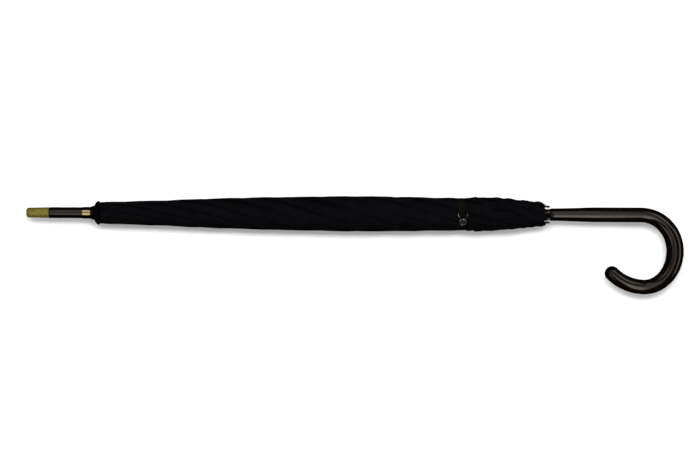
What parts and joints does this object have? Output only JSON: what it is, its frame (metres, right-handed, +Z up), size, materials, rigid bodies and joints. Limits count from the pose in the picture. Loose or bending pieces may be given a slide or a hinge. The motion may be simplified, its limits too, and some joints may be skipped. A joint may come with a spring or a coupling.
{
  "type": "stick umbrella",
  "caption": "Long stick umbrella with a bent crook handle, rolled and strapped; a sliding runner spreads its hinged ribs and cloth.",
  "frame": {"origin": "centre of the ferrule's flat end", "axes": "+X along the stick from the ferrule to the crook, the crook curls towards -Y, +Z up as the umbrella lies with its crook flat"},
  "size_m": [0.9123, 0.1344, 0.0484],
  "materials": {
    "wood": "polished, stained very dark brown",
    "aged_brass": "dull, worn",
    "bright_brass": "polished",
    "cap_fabric": "black, gathered",
    "canopy_fabric": "black, finely woven, matt",
    "strap_fabric": "black ribbed webbing",
    "black_metal": "black, satin",
    "bright_metal": "nickel plated"
  },
  "bodies": {
    "stick": {"shaft": "wood", "crook_handle": "wood", "ferrule_tip": "aged_brass", "ferrule_collar": "bright_brass", "tip_cup": "cap_fabric", "canopy_rosette": "cap_fabric", "top_notch": "black_metal", "notch_wire": "bright_metal", "stop_pin": "bright_metal", "hand_spring_pin": "bright_metal", "top_spring_pin": "bright_metal"},
    "runner": {"runner_crown": "black_metal", "runner_sleeve": "black_metal", "runner_wire": "bright_metal"},
    "hand_catch": {"hand_spring": "bright_metal"},
    "top_catch": {"top_spring": "bright_metal"},
    "rib_1": {"rib_1": "black_metal", "rib_tip_1": "bright_metal", "rib_rivet_1": "bright_metal", "tie_strap": "strap_fabric", "strap_button": "black_metal"},
    "stretcher_1": {"stretcher_1": "black_metal"},
    "gore_1": {"canopy_gore_1": "canopy_fabric"},
    "rib_2": {"rib_2": "black_metal", "rib_tip_2": "bright_metal", "rib_rivet_2": "bright_metal"},
    "stretcher_2": {"stretcher_2": "black_metal"},
    "gore_2": {"canopy_gore_2": "canopy_fabric"},
    "rib_3": {"rib_3": "black_metal", "rib_tip_3": "bright_metal", "rib_rivet_3": "bright_metal"},
    "stretcher_3": {"stretcher_3": "black_metal"},
    "gore_3": {"canopy_gore_3": "canopy_fabric"},
    "rib_4": {"rib_4": "black_metal", "rib_tip_4": "bright_metal", "rib_rivet_4": "bright_metal"},
    "stretcher_4": {"stretcher_4": "black_metal"},
    "gore_4": {"canopy_gore_4": "canopy_fabric"},
    "rib_5": {"rib_5": "black_metal", "rib_tip_5": "bright_metal", "rib_rivet_5": "bright_metal"},
    "stretcher_5": {"stretcher_5": "black_metal"},
    "gore_5": {"canopy_gore_5": "canopy_fabric"},
    "rib_6": {"rib_6": "black_metal", "rib_tip_6": "bright_metal", "rib_rivet_6": "bright_metal"},
    "stretcher_6": {"stretcher_6": "black_metal"},
    "gore_6": {"canopy_gore_6": "canopy_fabric"},
    "rib_7": {"rib_7": "black_metal", "rib_tip_7": "bright_metal", "rib_rivet_7": "bright_metal"},
    "stretcher_7": {"stretcher_7": "black_metal"},
    "gore_7": {"canopy_gore_7": "canopy_fabric"},
    "rib_8": {"rib_8": "black_metal", "rib_tip_8": "bright_metal", "rib_rivet_8": "bright_metal"},
    "stretcher_8": {"stretcher_8": "black_metal"},
    "gore_8": {"canopy_gore_8": "canopy_fabric"},
    "ring": {"strap_ring": "bright_metal"}
  },
  "joints": [
    {"name": "runner_slide", "type": "slide", "parent": "stick", "child": "runner", "axis": [-1, 0, 0], "range_m": [0, 0.35248]},
    {"name": "hand_catch_press", "type": "hinge", "parent": "stick", "child": "hand_catch", "pos_m": [0.658, -0.00045, 0.00407], "axis": [0, 0.994, 0.1097], "range_deg": [0, 4.5], "stiffness_Nm_per_rad": 0.2, "springref_deg": -5.73},
    {"name": "top_catch_press", "type": "hinge", "parent": "stick", "child": "top_catch", "pos_m": [0.315, -0.00045, 0.00407], "axis": [0, 0.994, 0.1097], "range_deg": [0, 4.5], "stiffness_Nm_per_rad": 0.2, "springref_deg": -5.73},
    {"name": "rib_1_open", "type": "hinge", "parent": "stick", "child": "rib_1", "pos_m": [0.108, -0.0054, 0.00982], "axis": [0, -0.8763, -0.4818], "range_deg": [0, 70.01], "deforming": ["tie_strap"]},
    {"name": "stretcher_1_fold", "type": "hinge", "parent": "rib_1", "child": "stretcher_1", "pos_m": [0.37299, -0.00636, 0.01157], "axis": [0, -0.8763, -0.4818], "range_deg": [-140.02, 0]},
    {"name": "gore_1_fan", "type": "hinge", "parent": "rib_1", "child": "gore_1", "pos_m": [0.09611, -0.00535, 0.00974], "axis": [0.0075, 0.5976, -0.8018], "range_deg": [0, 42.28], "deforming": ["canopy_gore_1"]},
    {"name": "rib_2_open", "type": "hinge", "parent": "stick", "child": "rib_2", "pos_m": [0.108, -0.01076, 0.00313], "axis": [0, -0.279, -0.9603], "range_deg": [0, 70.01]},
    {"name": "stretcher_2_fold", "type": "hinge", "parent": "rib_2", "child": "stretcher_2", "pos_m": [0.37299, -0.01268, 0.00368], "axis": [0, -0.279, -0.9603], "range_deg": [-140.02, 0]},
    {"name": "gore_2_fan", "type": "hinge", "parent": "rib_2", "child": "gore_2", "pos_m": [0.09611, -0.01067, 0.0031], "axis": [0.0075, 0.9895, -0.1444], "range_deg": [0, 42.28], "deforming": ["canopy_gore_2"]},
    {"name": "rib_3_open", "type": "hinge", "parent": "stick", "child": "rib_3", "pos_m": [0.108, -0.00982, -0.0054], "axis": [0, 0.4818, -0.8763], "range_deg": [0, 70.01]},
    {"name": "stretcher_3_fold", "type": "hinge", "parent": "rib_3", "child": "stretcher_3", "pos_m": [0.37299, -0.01157, -0.00636], "axis": [0, 0.4818, -0.8763], "range_deg": [-140.02, 0]},
    {"name": "gore_3_fan", "type": "hinge", "parent": "rib_3", "child": "gore_3", "pos_m": [0.09611, -0.00974, -0.00535], "axis": [0.0075, 0.8018, 0.5976], "range_deg": [0, 42.28], "deforming": ["canopy_gore_3"]},
    {"name": "rib_4_open", "type": "hinge", "parent": "stick", "child": "rib_4", "pos_m": [0.108, -0.00313, -0.01076], "axis": [0, 0.9603, -0.279], "range_deg": [0, 70.01]},
    {"name": "stretcher_4_fold", "type": "hinge", "parent": "rib_4", "child": "stretcher_4", "pos_m": [0.37299, -0.00368, -0.01268], "axis": [0, 0.9603, -0.279], "range_deg": [-140.02, 0]},
    {"name": "gore_4_fan", "type": "hinge", "parent": "rib_4", "child": "gore_4", "pos_m": [0.09611, -0.0031, -0.01067], "axis": [0.0075, 0.1444, 0.9895], "range_deg": [0, 42.28], "deforming": ["canopy_gore_4"]},
    {"name": "rib_5_open", "type": "hinge", "parent": "stick", "child": "rib_5", "pos_m": [0.108, 0.0054, -0.00982], "axis": [0, 0.8763, 0.4818], "range_deg": [0, 70.01]},
    {"name": "stretcher_5_fold", "type": "hinge", "parent": "rib_5", "child": "stretcher_5", "pos_m": [0.37299, 0.00636, -0.01157], "axis": [0, 0.8763, 0.4818], "range_deg": [-140.02, 0]},
    {"name": "gore_5_fan", "type": "hinge", "parent": "rib_5", "child": "gore_5", "pos_m": [0.09611, 0.00535, -0.00974], "axis": [0.0075, -0.5976, 0.8018], "range_deg": [0, 42.28], "deforming": ["canopy_gore_5"]},
    {"name": "rib_6_open", "type": "hinge", "parent": "stick", "child": "rib_6", "pos_m": [0.108, 0.01076, -0.00313], "axis": [0, 0.279, 0.9603], "range_deg": [0, 70.01]},
    {"name": "stretcher_6_fold", "type": "hinge", "parent": "rib_6", "child": "stretcher_6", "pos_m": [0.37299, 0.01268, -0.00368], "axis": [0, 0.279, 0.9603], "range_deg": [-140.02, 0]},
    {"name": "gore_6_fan", "type": "hinge", "parent": "rib_6", "child": "gore_6", "pos_m": [0.09611, 0.01067, -0.0031], "axis": [0.0075, -0.9895, 0.1444], "range_deg": [0, 42.28], "deforming": ["canopy_gore_6"]},
    {"name": "rib_7_open", "type": "hinge", "parent": "stick", "child": "rib_7", "pos_m": [0.108, 0.00982, 0.0054], "axis": [0, -0.4818, 0.8763], "range_deg": [0, 70.01]},
    {"name": "stretcher_7_fold", "type": "hinge", "parent": "rib_7", "child": "stretcher_7", "pos_m": [0.37299, 0.01157, 0.00636], "axis": [0, -0.4818, 0.8763], "range_deg": [-140.02, 0]},
    {"name": "gore_7_fan", "type": "hinge", "parent": "rib_7", "child": "gore_7", "pos_m": [0.09611, 0.00974, 0.00535], "axis": [0.0075, -0.8018, -0.5976], "range_deg": [0, 42.28], "deforming": ["canopy_gore_7"]},
    {"name": "rib_8_open", "type": "hinge", "parent": "stick", "child": "rib_8", "pos_m": [0.108, 0.00313, 0.01076], "axis": [0, -0.9603, 0.279], "range_deg": [0, 70.01]},
    {"name": "stretcher_8_fold", "type": "hinge", "parent": "rib_8", "child": "stretcher_8", "pos_m": [0.37299, 0.00368, 0.01268], "axis": [0, -0.9603, 0.279], "range_deg": [-140.02, 0]},
    {"name": "gore_8_fan", "type": "hinge", "parent": "rib_8", "child": "gore_8", "pos_m": [0.09611, 0.0031, 0.01067], "axis": [0.0075, -0.1444, -0.9895], "range_deg": [0, 42.28], "deforming": ["canopy_gore_8"]},
    {"name": "strap_ring_swing", "type": "hinge", "parent": "rib_1", "child": "ring", "pos_m": [0.604, -0.00668, 0.02315], "axis": [-1, 0, 0], "range_deg": [0, 120]}
  ],
  "couplings": [
    {"joint": "rib_1_open", "follows": "runner_slide", "rad_per_m": 3.4661},
    {"joint": "stretcher_1_fold", "follows": "runner_slide", "rad_per_m": -6.9322},
    {"joint": "gore_1_fan", "follows": "runner_slide", "rad_per_m": 2.0931},
    {"joint": "rib_2_open", "follows": "runner_slide", "rad_per_m": 3.4661},
    {"joint": "stretcher_2_fold", "follows": "runner_slide", "rad_per_m": -6.9322},
    {"joint": "gore_2_fan", "follows": "runner_slide", "rad_per_m": 2.0931},
    {"joint": "rib_3_open", "follows": "runner_slide", "rad_per_m": 3.4661},
    {"joint": "stretcher_3_fold", "follows": "runner_slide", "rad_per_m": -6.9322},
    {"joint": "gore_3_fan", "follows": "runner_slide", "rad_per_m": 2.0931},
    {"joint": "rib_4_open", "follows": "runner_slide", "rad_per_m": 3.4661},
    {"joint": "stretcher_4_fold", "follows": "runner_slide", "rad_per_m": -6.9322},
    {"joint": "gore_4_fan", "follows": "runner_slide", "rad_per_m": 2.0931},
    {"joint": "rib_5_open", "follows": "runner_slide", "rad_per_m": 3.4661},
    {"joint": "stretcher_5_fold", "follows": "runner_slide", "rad_per_m": -6.9322},
    {"joint": "gore_5_fan", "follows": "runner_slide", "rad_per_m": 2.0931},
    {"joint": "rib_6_open", "follows": "runner_slide", "rad_per_m": 3.4661},
    {"joint": "stretcher_6_fold", "follows": "runner_slide", "rad_per_m": -6.9322},
    {"joint": "gore_6_fan", "follows": "runner_slide", "rad_per_m": 2.0931},
    {"joint": "rib_7_open", "follows": "runner_slide", "rad_per_m": 3.4661},
    {"joint": "stretcher_7_fold", "follows": "runner_slide", "rad_per_m": -6.9322},
    {"joint": "gore_7_fan", "follows": "runner_slide", "rad_per_m": 2.0931},
    {"joint": "rib_8_open", "follows": "runner_slide", "rad_per_m": 3.4661},
    {"joint": "stretcher_8_fold", "follows": "runner_slide", "rad_per_m": -6.9322},
    {"joint": "gore_8_fan", "follows": "runner_slide", "rad_per_m": 2.0931}
  ]
}
